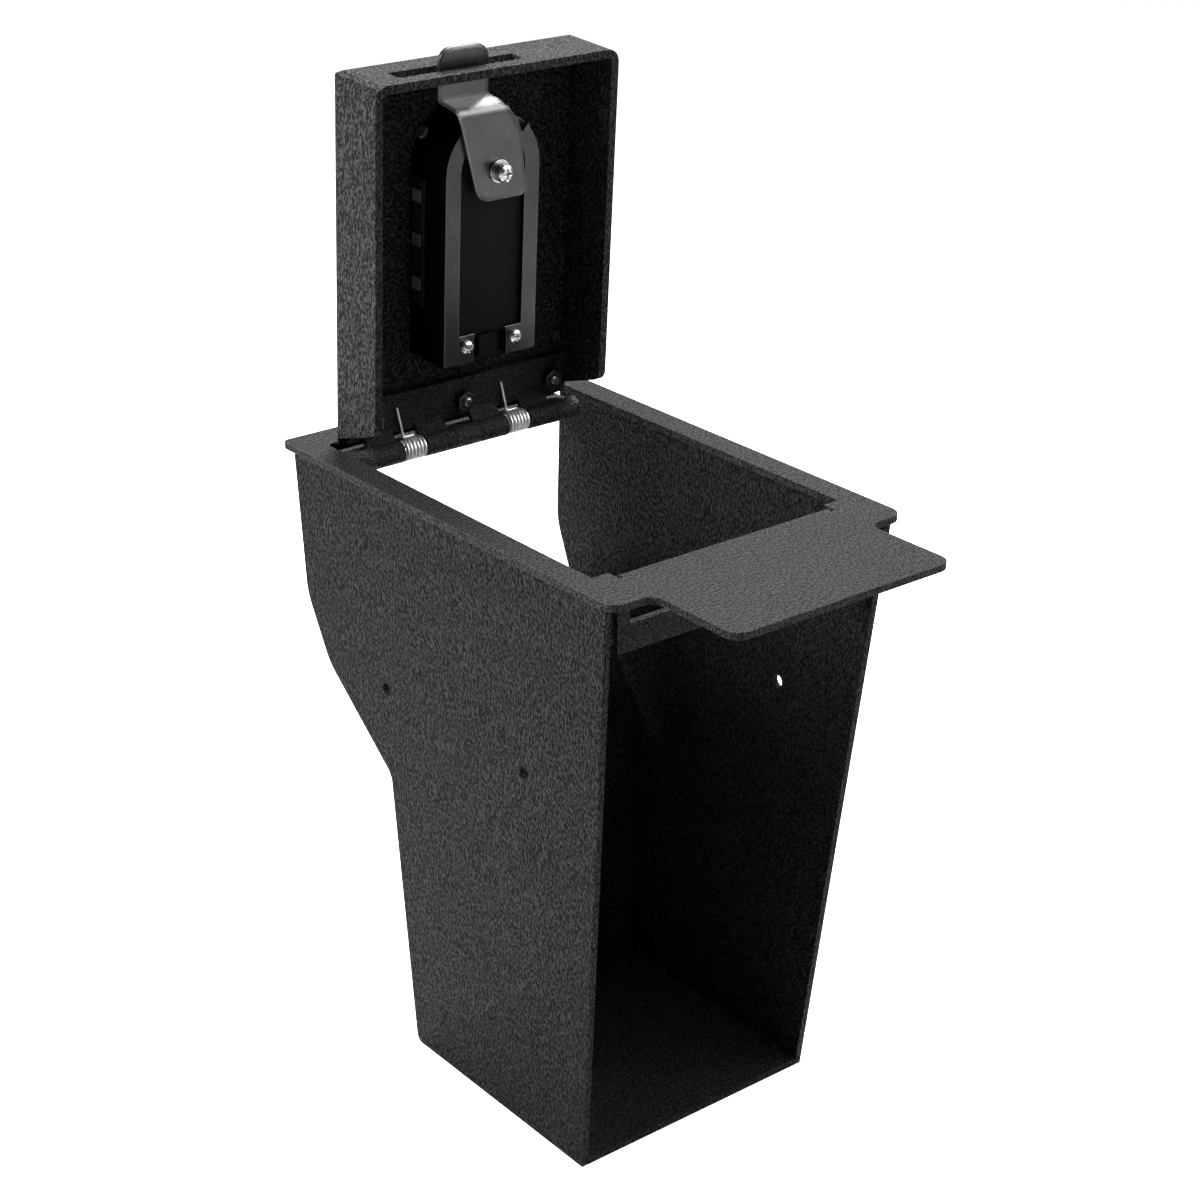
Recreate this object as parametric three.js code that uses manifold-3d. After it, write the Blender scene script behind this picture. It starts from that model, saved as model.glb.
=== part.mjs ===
// A steel console safe that drops into the storage bin between two vehicle seats.
// It stands on its own floor with the lid open, as it is shown in a catalogue view.
// Millimetres, +Z up, +X to the right, front towards -Y, origin under the middle of the floor.

import * as THREE from 'three';
import { mergeVertices } from 'three/addons/utils/BufferGeometryUtils.js';
import Module from 'manifold-3d';

const wasm = await Module();
wasm.setup();

// Driving dimensions of the body

const SHEET = 2.7; // 12-gauge steel with its coat
const GAP = 0.3; // air between pieces that touch
const RIM_HALF = 67; // half the width of the rim plate at its front ears
const RIM_REAR_HALF = 68.2; // the rim is a little wider at its rear corners
const RIM_REAR = 121.5;
const TONGUE_FRONT = -121.5;
const TONGUE_HALF = 49.3;
const EAR_FRONT = -80;
const RIM_TOP = 246;
const RIM_UNDER = RIM_TOP - SHEET;
const MOUTH_HALF = 57; // half the width of the opening in the rim
const MOUTH_FRONT = -57;
const FLANGE_HALF = 48.3;
const FLANGE_DEPTH = 30; // how far the flange reaches below the rim's top
const BEND = 4; // outside radius of a bend in the sheet
const PANEL_OUTER = 65.8; // outer face of a side panel where it meets the rim
const PANEL_LEAN = THREE.MathUtils.degToRad(2.35);
const PANEL_FRONT_TOP = -75;
const PANEL_FRONT_FOOT = -49;
const PANEL_REAR = 117;
const FOOT_REAR = 60;

// Driving dimensions of the hinge and the lid, measured from the hinge axis

const AXIS_Y = 94.4;
const AXIS_Z = 241;
const LID_LEAN = THREE.MathUtils.degToRad(3.6); // the open lid leans forward this far
const HINGE_MIDDLE = -1.8; // the hinge sits a little to the left
const HINGE_HALF = 54.85;
const BARREL_R = 4.3;
const PIN_R = 2.05;
const LEAF = 2;
const LID_SHEET = 3.2; // thicker sheet than the body's
const LID_HALF = 54.8;
const LID_OUT = 12; // outer face of the lid's plate
const LID_IN = LID_OUT - LID_SHEET;
const LID_EDGE = -16.7; // free edge of the lid's walls
const LID_NEAR = 5;
const LID_FAR = 149.8;
const LID_CORNER = 5; // the side walls meet the far wall in this radius

// Driving dimensions of the lock on the lid

const LOCK_HALF = 21.5;
const LOCK_FOOT = 35.5;
const KNOB_S = 110.7; // the lock's round end and the knob, measured up the lid from the hinge axis
const KNOB_X = 1;
const LOCK_BACK = -11.6; // the lock's face inside the lid
const BEZEL = 2.1;
const DIAL_R = 9;
const DIAL_PITCH = 12;
const DIAL_COUNT = 4;
const DIAL_FIRST = 50;
const DIAL_H = 7.1; // height of the dials' axle
const FRAME_T = 1.3; // thickness of the lock's holding frame
const FRAME_BAND = 6.6;
const CAM_T = 1.5; // thickness of the latch cam
const TONGUE_H = -7.55; // middle of the cam's tongue
const CAM_TIP = 157.4;

const FINISH = {
  coat: new THREE.MeshStandardMaterial({ color: 0x1d1d1e, roughness: 0.62, metalness: 0.15 }),
  hingeBlack: new THREE.MeshStandardMaterial({ color: 0x161617, roughness: 0.45, metalness: 0.4 }),
  stainless: new THREE.MeshStandardMaterial({ color: 0x8f8f8d, roughness: 0.36, metalness: 0.95 }),
  zinc: new THREE.MeshStandardMaterial({ color: 0xb9babc, roughness: 0.28, metalness: 0.95 }),
  plastic: new THREE.MeshStandardMaterial({ color: 0x0d0d0e, roughness: 0.42, metalness: 0 }),
  dial: new THREE.MeshStandardMaterial({ color: 0x222224, roughness: 0.35, metalness: 0 }),
  board: new THREE.MeshStandardMaterial({ color: 0xd7d4c6, roughness: 0.5, metalness: 0 }),
  lamp: new THREE.MeshStandardMaterial({ color: 0xeceadb, roughness: 0.25, metalness: 0 }),
};

// Outlines

const v2 = (x, y) => new THREE.Vector2(x, y);

// Turns corners [x, y, radius] into a list of points, with an arc at each corner that has a radius.
function rounded(corners, closed = true, steps = 4) {
  const points = [];
  const n = corners.length;
  corners.forEach(([x, y, radius = 0], i) => {
    const here = v2(x, y);
    if (!radius || (!closed && (i === 0 || i === n - 1))) {
      points.push(here);
      return;
    }
    const before = v2(...corners[(i + n - 1) % n]).sub(here).normalize();
    const after = v2(...corners[(i + 1) % n]).sub(here).normalize();
    const half = Math.acos(THREE.MathUtils.clamp(before.dot(after), -1, 1)) / 2;
    const reach = radius / Math.tan(half);
    const start = here.clone().addScaledVector(before, reach);
    const end = here.clone().addScaledVector(after, reach);
    const middle = before.clone().add(after).normalize();
    const centre = here.clone().addScaledVector(middle, radius / Math.sin(half));
    const from = start.clone().sub(centre);
    const turn = Math.PI - 2 * half;
    const sign = Math.sign(from.cross(end.clone().sub(centre)));
    for (let k = 0; k <= steps; k += 1) {
      const spoke = from.clone().rotateAround(v2(0, 0), (sign * turn * k) / steps);
      points.push(centre.clone().add(spoke));
    }
  });
  return points;
}

// The outline of a bent sheet of one thickness that follows an open path.
function ribbon(path, thickness) {
  const left = [];
  const right = [];
  path.forEach((p, i) => {
    const ahead = path[Math.min(i + 1, path.length - 1)].clone().sub(p);
    const behind = p.clone().sub(path[Math.max(i - 1, 0)]);
    if (i === 0) behind.copy(ahead);
    if (i === path.length - 1) ahead.copy(behind);
    const a = behind.normalize();
    const b = ahead.normalize();
    const middle = a.clone().add(b).normalize();
    const normal = v2(-middle.y, middle.x);
    const reach = thickness / 2 / normal.dot(v2(-a.y, a.x));
    left.push(p.clone().addScaledVector(normal, reach));
    right.push(p.clone().addScaledVector(normal, -reach));
  });
  return [...left, ...right.reverse()];
}

const circle = (x, y, radius, sides = 24) =>
  Array.from({ length: sides }, (_, k) => {
    const angle = (2 * Math.PI * k) / sides;
    return v2(x + radius * Math.cos(angle), y + radius * Math.sin(angle));
  });

const box2 = (x0, x1, y0, y1) => [v2(x0, y0), v2(x1, y0), v2(x1, y1), v2(x0, y1)];

// A long shape with one round end, as the lock has: round at the knob, square at the foot.
function tombstone(half, foot, cornerRadius, inset = 0) {
  const arc = [];
  for (let k = 0; k <= 16; k += 1) {
    const angle = (Math.PI * k) / 16;
    arc.push(v2((half - inset) * Math.cos(angle), KNOB_S + (half - inset) * Math.sin(angle)));
  }
  const corners = rounded([
    [half - inset, KNOB_S],
    [-(half - inset), KNOB_S],
    [-(half - inset), foot + inset, cornerRadius],
    [half - inset, foot + inset, cornerRadius],
  ]);
  return [...arc, ...corners.slice(2)];
}

// Solids

function toSolid(geometry) {
  const bare = geometry.clone();
  bare.deleteAttribute('normal');
  bare.deleteAttribute('uv');
  const merged = mergeVertices(bare, 1e-4);
  return new wasm.Manifold(
    new wasm.Mesh({
      numProp: 3,
      vertProperties: new Float32Array(merged.attributes.position.array),
      triVerts: new Uint32Array(merged.index.array),
    }),
  );
}

function extrude(outline, depth, basis) {
  const shape = new THREE.Shape(outline);
  const geometry = new THREE.ExtrudeGeometry(shape, { depth, bevelEnabled: false, steps: 1 });
  return toSolid(geometry.applyMatrix4(basis));
}

const basisOf = (a, b, c, at) => new THREE.Matrix4().makeBasis(a, b, c).setPosition(at);
const X = new THREE.Vector3(1, 0, 0);
const Y = new THREE.Vector3(0, 1, 0);
const Z = new THREE.Vector3(0, 0, 1);

// alongX takes an outline in (y, z), alongY one in (x, z) and alongZ one in (x, y).
const alongX = (outline, x0, x1) =>
  extrude(outline, x1 - x0, basisOf(Y, Z, X, new THREE.Vector3(x0, 0, 0)));
const alongY = (outline, y0, y1) =>
  extrude(outline, y1 - y0, basisOf(X, Z, Y.clone().negate(), new THREE.Vector3(0, y1, 0)));
const alongZ = (outline, z0, z1) =>
  extrude(outline, z1 - z0, basisOf(X, Y, Z, new THREE.Vector3(0, 0, z0)));

const join = (...solids) => solids.reduce((all, one) => all.add(one));
const cut = (solid, ...tools) => tools.reduce((left, tool) => left.subtract(tool), solid);

// A solid of revolution about Y, from a closed profile of [radius, y] points.
function turned(profile, x, z, sides = 24) {
  const geometry = new THREE.LatheGeometry(profile.map(([r, y]) => v2(r, y)), sides);
  return toSolid(geometry.translate(x, 0, z));
}

function toGeometry(solid) {
  const { vertProperties, triVerts } = solid.getMesh();
  const geometry = new THREE.BufferGeometry();
  geometry.setAttribute('position', new THREE.BufferAttribute(new Float32Array(vertProperties), 3));
  geometry.setIndex(new THREE.BufferAttribute(new Uint32Array(triVerts), 1));
  geometry.computeVertexNormals();
  return geometry;
}

function piece(group, name, solid, material) {
  const mesh = new THREE.Mesh(toGeometry(solid), material.clone());
  mesh.name = name;
  group.add(mesh);
  return mesh;
}

const safe = new THREE.Group();
const body = new THREE.Group();
safe.add(body);

// Everything on the lid is drawn as if the lid stood upright on the hinge axis:
// X across, Y out through the lid's plate, Z up the lid. The group gives it its place and lean.
const lid = new THREE.Group();
lid.position.set(0, AXIS_Y, AXIS_Z);
lid.rotation.x = LID_LEAN;
safe.add(lid);

// Rim plate: one cut blank with the flange of its mouth bent down

function rimPlate() {
  const rearMouth = AXIS_Y + LID_OUT + 0.6;
  const half = [
    [RIM_REAR_HALF, RIM_REAR, 2.5],
    [RIM_HALF, EAR_FRONT, 6],
    [TONGUE_HALF, EAR_FRONT, 5],
    [TONGUE_HALF, TONGUE_FRONT, 5.5],
  ];
  const outline = rounded([...half, ...half.map(([x, y, r]) => [-x, y, r]).reverse()]);
  const bendStart = MOUTH_FRONT - BEND;
  const mouth = rounded([
    [MOUTH_HALF, rearMouth, 2],
    [-MOUTH_HALF, rearMouth, 2],
    [-MOUTH_HALF, MOUTH_FRONT + 0.6],
    [-FLANGE_HALF, MOUTH_FRONT + 0.6],
    [-FLANGE_HALF, bendStart],
    [FLANGE_HALF, bendStart],
    [FLANGE_HALF, MOUTH_FRONT + 0.6],
    [MOUTH_HALF, MOUTH_FRONT + 0.6],
  ]);
  const blank = alongZ(outline, RIM_UNDER, RIM_TOP);
  const plate = cut(blank, alongZ(mouth, RIM_UNDER - 5, RIM_TOP + 5));
  const middle = RIM_TOP - SHEET / 2;
  const flangePath = rounded(
    [
      [bendStart - 3, middle],
      [MOUTH_FRONT - SHEET / 2, middle, BEND - SHEET / 2],
      [MOUTH_FRONT - SHEET / 2, RIM_TOP - FLANGE_DEPTH],
    ],
    false,
  );
  const flange = alongX(ribbon(flangePath, SHEET), -FLANGE_HALF, FLANGE_HALF);
  const strikeSlot = alongY(
    rounded([
      [-43, 226.4, 1],
      [18, 226.4, 1],
      [18, 236.6, 1],
      [-43, 236.6, 1],
    ]),
    MOUTH_FRONT - 10,
    MOUTH_FRONT + 10,
  );
  const reliefs = [-1, 1].map((side) => {
    const centre = side * (FLANGE_HALF + 0.5);
    const notch = rounded([
      [centre - 1.1, bendStart - 1.6, 0.9],
      [centre + 1.1, bendStart - 1.6, 0.9],
      [centre + 1.1, MOUTH_FRONT + 2],
      [centre - 1.1, MOUTH_FRONT + 2],
    ]);
    return alongZ(notch, RIM_TOP - 8, RIM_TOP + 5);
  });
  return cut(join(plate, flange), strikeSlot, ...reliefs);
}

piece(body, 'rim_plate', rimPlate(), FINISH.coat);

// Side panels: flat plates that lean in towards the foot

// The panel's edge in (y, z), with z measured down from the rim's underside.
function panelOutline() {
  const down = (z) => (z - RIM_UNDER + GAP) / Math.cos(PANEL_LEAN);
  return rounded([
    [PANEL_FRONT_TOP, down(RIM_UNDER - GAP)],
    [PANEL_FRONT_FOOT, down(0)],
    [FOOT_REAR, down(0), 3],
    [64.9, down(122), 7],
    [104, down(156.5), 24],
    [116.2, down(183), 24],
    [PANEL_REAR, down(RIM_UNDER - GAP)],
  ]);
}

// The left panel has a fixing hole near its rear edge that the right one lacks.
function sidePanel(side) {
  const places = side > 0 ? [-24] : [63.5, -24];
  const holes = places.map((y) => alongX(circle(y, 160.3 - RIM_UNDER, 2.7, 16), -10, 10));
  const plate = cut(alongX(panelOutline(), -SHEET, 0), ...holes);
  const upright = side > 0 ? plate : plate.mirror([1, 0, 0]);
  const turn = side * THREE.MathUtils.radToDeg(PANEL_LEAN);
  return upright.rotate([0, turn, 0]).translate([side * PANEL_OUTER, 0, RIM_UNDER - GAP]);
}

piece(body, 'left_side_panel', sidePanel(-1), FINISH.coat);
piece(body, 'right_side_panel', sidePanel(1), FINISH.coat);

// Wrapper: one bent sheet that makes the sloped back, the shaft's rear wall and the floor

function wrapperSheet() {
  const half = SHEET / 2;
  const path = rounded(
    [
      [104.5, 159.6],
      [64.9 - half, 123.3, BEND],
      [FOOT_REAR - half, half, BEND],
      [PANEL_FRONT_FOOT, half],
    ],
    false,
  );
  const bent = alongX(ribbon(path, SHEET), -80, 80);
  const room = PANEL_OUTER - SHEET - GAP - 0.1;
  const inner = (z) => room - Math.tan(PANEL_LEAN) * (RIM_UNDER - z);
  const between = [
    v2(-inner(-10), -10),
    v2(inner(-10), -10),
    v2(inner(200), 200),
    v2(-inner(200), 200),
  ];
  return bent.intersect(alongY(between, -200, 200));
}

piece(body, 'wrapper_sheet', wrapperSheet(), FINISH.coat);

// Hinge: nine segments on one pin, alike to both sides of its middle

const SEGMENT_ENDS = [-HINGE_HALF, -43.45, -30.15, -19.55, -6.05, 6.05, 19.55, 30.15, 43.45, HINGE_HALF];
const FIXED_KNUCKLES = [0, 4, 8];
const LID_KNUCKLES = [1, 3, 5, 7];
const SPRING_SEGMENTS = [2, 6];
const HINGE_LEFT = HINGE_MIDDLE - HINGE_HALF;
const HINGE_RIGHT = HINGE_MIDDLE + HINGE_HALF;

function segment(k) {
  return [HINGE_MIDDLE + SEGMENT_ENDS[k] + GAP / 2, HINGE_MIDDLE + SEGMENT_ENDS[k + 1] - GAP / 2];
}

function knuckle(k) {
  const [x0, x1] = segment(k);
  return { x0, x1, ring: alongX(circle(0, 0, BARREL_R, 20), x0, x1) };
}

const pinBore = alongX(circle(0, 0, PIN_R + GAP, 20), -70, 70);

// The fixed leaf lies under the rim behind the mouth, 0.3 mm below it.
function fixedLeaf() {
  const leafTop = RIM_UNDER - GAP - AXIS_Z;
  const leafRear = 20.6;
  const flat = alongX(box2(5.4, leafRear, leafTop - LEAF, leafTop), HINGE_LEFT, HINGE_RIGHT);
  const rolls = FIXED_KNUCKLES.map((k) => {
    const { x0, x1, ring } = knuckle(k);
    return join(ring, alongX(box2(1, leafRear, leafTop - LEAF, leafTop), x0, x1));
  });
  return cut(join(flat, ...rolls), pinBore).translate([0, AXIS_Y, AXIS_Z]);
}

piece(body, 'hinge_fixed_leaf', fixedLeaf(), FINISH.hingeBlack);

const pin = alongX(circle(0, 0, PIN_R, 16), HINGE_LEFT, HINGE_RIGHT + 0.4);
piece(body, 'hinge_pin', pin.translate([0, AXIS_Y, AXIS_Z]), FINISH.zinc);

const BOLT_X = [-41.2, 1.6, 44.4];
const BOLT_S = 12.2;
const BOLT_R = 2;
const LEAF_TOP = LID_IN - GAP;

function lidLeaf() {
  const far = 21.2;
  const half = LID_HALF - LID_SHEET - GAP;
  const flat = alongX(box2(LEAF_TOP - LEAF, LEAF_TOP, 5.4, far), -half, half);
  const middle = LEAF_TOP - LEAF / 2;
  const neck = rounded(
    [
      [BARREL_R - LEAF / 2, 0],
      [BARREL_R - LEAF / 2, 3.1, 2],
      [middle, 7, 2],
      [middle, far],
    ],
    false,
  );
  const rolls = LID_KNUCKLES.map((k) => {
    const { x0, x1, ring } = knuckle(k);
    return join(ring, alongX(ribbon(neck, LEAF), x0, x1));
  });
  const holes = BOLT_X.map((x) => alongY(circle(x, BOLT_S, BOLT_R + 0.4, 16), 0, 10));
  return cut(join(flat, ...rolls), pinBore, ...holes);
}

piece(lid, 'hinge_lid_leaf', lidLeaf(), FINISH.hingeBlack);

// Torsion springs: a tail under the fixed leaf, the curls, a bar back over the curls
// and a long leg up the lid's leaf

const WIRE_R = 0.55;
const COIL_R = 3.85;
const CURL_STEPS = 8;
const COIL_START = THREE.MathUtils.degToRad(-80.5);
const BAR_AT = v2(4.6, 3.3); // the bar's place in (out, up) from the axis
const TAIL = 12.5;

// Points of one spring's wire, as (x, out, up) from the hinge axis.
function springPath(k) {
  const [from, to] = segment(k);
  const barTouch = BAR_AT.angle() + Math.acos(COIL_R / BAR_AT.length());
  const sweep = COIL_START - barTouch + 2 * Math.PI * 6;
  const steps = Math.round((sweep * CURL_STEPS) / (2 * Math.PI));
  const x0 = from + GAP / 2 + WIRE_R;
  const x1 = to - GAP / 2 - WIRE_R;
  const on = (x, angle) =>
    new THREE.Vector3(x, COIL_R * Math.cos(angle), COIL_R * Math.sin(angle));
  const outwards = new THREE.Vector3(0, -Math.sin(COIL_START), Math.cos(COIL_START));
  const bar = (x) => new THREE.Vector3(x, BAR_AT.x, BAR_AT.y);
  const leg = [
    [4.4, 4.7, 3.4],
    [4.2, 5, 4],
    [4.2, 5.4, 5],
    [4.1, 5.5, 6.3],
    [1.7, 5.5, 16],
  ];
  const points = [
    on(x0, COIL_START).addScaledVector(outwards, TAIL),
    on(x0, COIL_START).addScaledVector(outwards, TAIL / 2),
  ];
  for (let i = 0; i <= steps; i += 1) {
    points.push(on(x0 + ((x1 - x0) * i) / steps, COIL_START - (sweep * i) / steps));
  }
  points.push(points[points.length - 1].clone().lerp(bar(x1), 0.6));
  points.push(bar(x1 - 0.4));
  points.push(bar(x1 - 1.2));
  points.push(bar(from + 5.2));
  leg.forEach(([x, out, up]) => points.push(new THREE.Vector3(from + x, out, up)));
  return points;
}

// A closed tube of five sides along the points, each ring square to the path there.
function wire(points, radius, sides = 5) {
  const positions = [];
  const index = [];
  const directions = points.map((p, i) => {
    const ahead = points[Math.min(i + 1, points.length - 1)];
    const behind = points[Math.max(i - 1, 0)];
    return ahead.clone().sub(behind).normalize();
  });
  let up = new THREE.Vector3(1, 0, 0);
  points.forEach((p, i) => {
    const along = directions[i];
    up = up.clone().addScaledVector(along, -up.dot(along)).normalize();
    const across = along.clone().cross(up);
    for (let s = 0; s < sides; s += 1) {
      const angle = (2 * Math.PI * s) / sides;
      const place = p.clone();
      place.addScaledVector(up, radius * Math.cos(angle));
      place.addScaledVector(across, radius * Math.sin(angle));
      positions.push(place.x, place.y, place.z);
    }
  });
  const ring = (i, s) => i * sides + (s % sides);
  for (let i = 0; i + 1 < points.length; i += 1) {
    for (let s = 0; s < sides; s += 1) {
      index.push(ring(i, s), ring(i, s + 1), ring(i + 1, s + 1));
      index.push(ring(i, s), ring(i + 1, s + 1), ring(i + 1, s));
    }
  }
  const last = points.length - 1;
  for (let s = 1; s + 1 < sides; s += 1) {
    index.push(ring(0, 0), ring(0, s + 1), ring(0, s));
    index.push(ring(last, 0), ring(last, s), ring(last, s + 1));
  }
  const geometry = new THREE.BufferGeometry();
  geometry.setAttribute('position', new THREE.Float32BufferAttribute(positions, 3));
  geometry.setIndex(index);
  return geometry;
}

// The least air between stretches of one wire that are more than half a curl apart.
function leastGap(points, radius) {
  const fine = [];
  for (let i = 0; i + 1 < points.length; i += 1) {
    for (let k = 0; k < 4; k += 1) fine.push(points[i].clone().lerp(points[i + 1], k / 4));
  }
  const along = [0];
  for (let i = 1; i < fine.length; i += 1) {
    along.push(along[i - 1] + fine[i].distanceTo(fine[i - 1]));
  }
  let least = Infinity;
  for (let i = 0; i < fine.length; i += 1) {
    for (let j = i + 1; j < fine.length; j += 1) {
      if (along[j] - along[i] > Math.PI * COIL_R) {
        least = Math.min(least, fine[i].distanceTo(fine[j]) - 2 * radius);
      }
    }
  }
  return least;
}

SPRING_SEGMENTS.forEach((k, i) => {
  const points = springPath(k);
  const name = i === 0 ? 'hinge_spring_left' : 'hinge_spring_right';
  console.log(`${name}: least gap to itself ${leastGap(points, WIRE_R).toFixed(2)} mm`);
  const mesh = new THREE.Mesh(wire(points, WIRE_R), FINISH.zinc.clone());
  mesh.geometry.computeVertexNormals();
  mesh.name = name;
  lid.add(mesh);
});

// Hinge bolts go through the lid's plate and the leaf, with a hex nut inside

const NUT_TOP = LEAF_TOP - LEAF - GAP;
const NUT_T = 3.2;
const NUT_R = 4; // over the corners
BOLT_X.forEach((x, i) => {
  const head = turned(
    [
      [0, LID_OUT + 2.5],
      [2.2, LID_OUT + 2.3],
      [3.5, LID_OUT + 1.4],
      [4, LID_OUT + GAP],
      [BOLT_R, LID_OUT + GAP],
      [BOLT_R, NUT_TOP - NUT_T - 1],
      [BOLT_R - 0.5, NUT_TOP - NUT_T - 1.5],
      [0, NUT_TOP - NUT_T - 1.5],
    ].reverse(),
    x,
    BOLT_S,
    16,
  );
  piece(lid, `hinge_bolt_${i + 1}`, head, FINISH.zinc);
  const corners = circle(0, 0, NUT_R, 6).map((p) => p.rotateAround(v2(0, 0), Math.PI / 6));
  const hex = alongY(corners, NUT_TOP - NUT_T, NUT_TOP).translate([x, 0, BOLT_S]);
  const threaded = alongY(circle(x, BOLT_S, BOLT_R + GAP, 16), 0, 12);
  piece(lid, `hinge_nut_${i + 1}`, cut(hex, threaded), FINISH.zinc);
});

// Lid pan: a plate with walls on three sides, open towards the hinge

function lidPan() {
  const slantAt = (h) => 8.8 + 0.377 * (6 - h);
  const across = (half, top, foot, radius) =>
    alongZ(
      rounded([
        [-half, foot],
        [half, foot],
        [half, top, radius],
        [-half, top, radius],
      ]),
      -10,
      170,
    );
  const outerSide = rounded([
    [LID_OUT, LID_NEAR],
    [LID_OUT, LID_FAR, BEND],
    [LID_EDGE, LID_FAR],
    [LID_EDGE, slantAt(LID_EDGE), 5],
    [LID_IN, slantAt(LID_IN)],
    [LID_IN, LID_NEAR],
  ]).reverse();
  const innerSide = rounded([
    [LID_IN, -8],
    [LID_IN, LID_FAR - LID_SHEET, BEND - LID_SHEET],
    [LID_EDGE - 5, LID_FAR - LID_SHEET],
    [LID_EDGE - 5, -8],
  ]).reverse();
  const facing = (half, far, radius) =>
    alongY(
      rounded([
        [-half, -20],
        [half, -20],
        [half, far, radius],
        [-half, far, radius],
      ]),
      -40,
      40,
    );
  const outer = across(LID_HALF, LID_OUT, LID_EDGE, BEND)
    .intersect(alongX(outerSide, -60, 60))
    .intersect(facing(LID_HALF, LID_FAR, LID_CORNER));
  const hollow = across(LID_HALF - LID_SHEET, LID_IN, LID_EDGE - 5, BEND - LID_SHEET)
    .intersect(alongX(innerSide, -60, 60))
    .intersect(facing(LID_HALF - LID_SHEET, LID_FAR - LID_SHEET, LID_CORNER - LID_SHEET));
  const slot = alongZ(
    rounded([
      [-40.5, -10.4, 1.5],
      [15, -10.4, 1.5],
      [15, -2.8, 1.5],
      [-40.5, -2.8, 1.5],
    ]),
    LID_FAR - 6,
    LID_FAR + 5,
  );
  const boltHoles = BOLT_X.map((x) => alongY(circle(x, BOLT_S, BOLT_R + 0.4, 16), 5, 15));
  const lockHole = alongY(tombstone(LOCK_HALF + GAP, LOCK_FOOT - GAP, 1.3), 5, 15);
  return cut(outer, hollow, slot, lockHole, ...boltHoles);
}

piece(lid, 'lid_pan', lidPan(), FINISH.coat);

// Lock housing: a moulded body that goes through the lid's plate, with a bezel outside

const FACE = LID_OUT + GAP + BEZEL;
const dialPlaces = Array.from({ length: DIAL_COUNT }, (_, i) => DIAL_FIRST + i * DIAL_PITCH);
const DIAL_W = 8;

function lockHousing() {
  const core = alongY(tombstone(LOCK_HALF, LOCK_FOOT, 1), LOCK_BACK, LID_OUT + GAP + 0.5);
  const bezel = alongY(tombstone(LOCK_HALF + 3.5, LOCK_FOOT - 3.5, 6), LID_OUT + GAP, FACE);
  const pockets = dialPlaces.map((s) =>
    alongZ(circle(0, DIAL_H, DIAL_R + 0.7, 32), s - DIAL_W / 2 - 0.5, s + DIAL_W / 2 + 0.5),
  );
  const axleEnd = dialPlaces[DIAL_COUNT - 1] + DIAL_W / 2 + 4;
  const axleBore = alongZ(circle(0, DIAL_H, 1.9, 12), DIAL_FIRST - DIAL_W / 2 - 4.2, axleEnd);
  const spindleBore = alongY(circle(KNOB_X, KNOB_S, 5.4, 24), LOCK_BACK - 5, FACE + 5);
  const knobSeat = alongY(circle(KNOB_X, KNOB_S, 14.3, 32), FACE - 0.8, FACE + 5);
  const leverSlot = alongY(box2(-5.6, 7, 37.6, 46.4), LOCK_BACK - 1, LOCK_BACK + 1.4);
  return cut(join(core, bezel), ...pockets, axleBore, spindleBore, knobSeat, leverSlot);
}

piece(lid, 'lock_housing', lockHousing(), FINISH.plastic);

// Number dials: ten flats each, with a hub bore for the axle and finger notches between the flats

function numberDial(s) {
  const rim = [];
  for (let k = 0; k < 10; k += 1) {
    const at = (turn, radius) => {
      const angle = (2 * Math.PI * (k + turn)) / 10;
      return v2(radius * Math.sin(angle), DIAL_H + radius * Math.cos(angle));
    };
    rim.push(at(-0.36, DIAL_R), at(0.36, DIAL_R), at(0.5, DIAL_R - 0.7));
  }
  const wheel = alongZ(rim.reverse(), s - DIAL_W / 2, s + DIAL_W / 2);
  return cut(wheel, alongZ(circle(0, DIAL_H, 1.9, 12), s - 10, s + 10));
}

dialPlaces.forEach((s, i) => piece(lid, `number_dial_${i + 1}`, numberDial(s), FINISH.dial));

const axle = alongZ(
  circle(0, DIAL_H, 1.5, 12),
  DIAL_FIRST - DIAL_W / 2 - 3.8,
  dialPlaces[DIAL_COUNT - 1] + DIAL_W / 2 + 3.6,
);
piece(lid, 'dial_axle', axle, FINISH.zinc);

// Knob outside, with the spindle that carries the latch cam

const CAM_BACK = LOCK_BACK - GAP - FRAME_T - GAP;
const CAM_FRONT = CAM_BACK - CAM_T;

function turnKnob() {
  const base = FACE - 0.8 + GAP;
  const turnedPart = turned(
    [
      [0, base + 4.2],
      [11, base + 4.2],
      [13, base + 3.6],
      [13.8, base + 2.4],
      [13.8, base],
      [5, base],
      [5, CAM_BACK + GAP],
      [0, CAM_BACK + GAP],
    ].reverse(),
    KNOB_X,
    KNOB_S,
    32,
  );
  const grip = alongY(
    rounded([
      [KNOB_X - 4.2, KNOB_S - 12.4, 3],
      [KNOB_X + 4.2, KNOB_S - 12.4, 3],
      [KNOB_X + 4.2, KNOB_S + 12.4, 3],
      [KNOB_X - 4.2, KNOB_S + 12.4, 3],
    ]),
    base + 3,
    base + 12,
  );
  const screwHole = alongY(circle(KNOB_X, KNOB_S, 2.5, 16), CAM_BACK - 5, CAM_BACK + 10);
  return cut(join(turnedPart, grip), screwHole);
}

piece(lid, 'turn_knob', turnKnob(), FINISH.plastic);

// Latch cam: a pressed stainless arm with a stepped tongue that turns about the spindle

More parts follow.
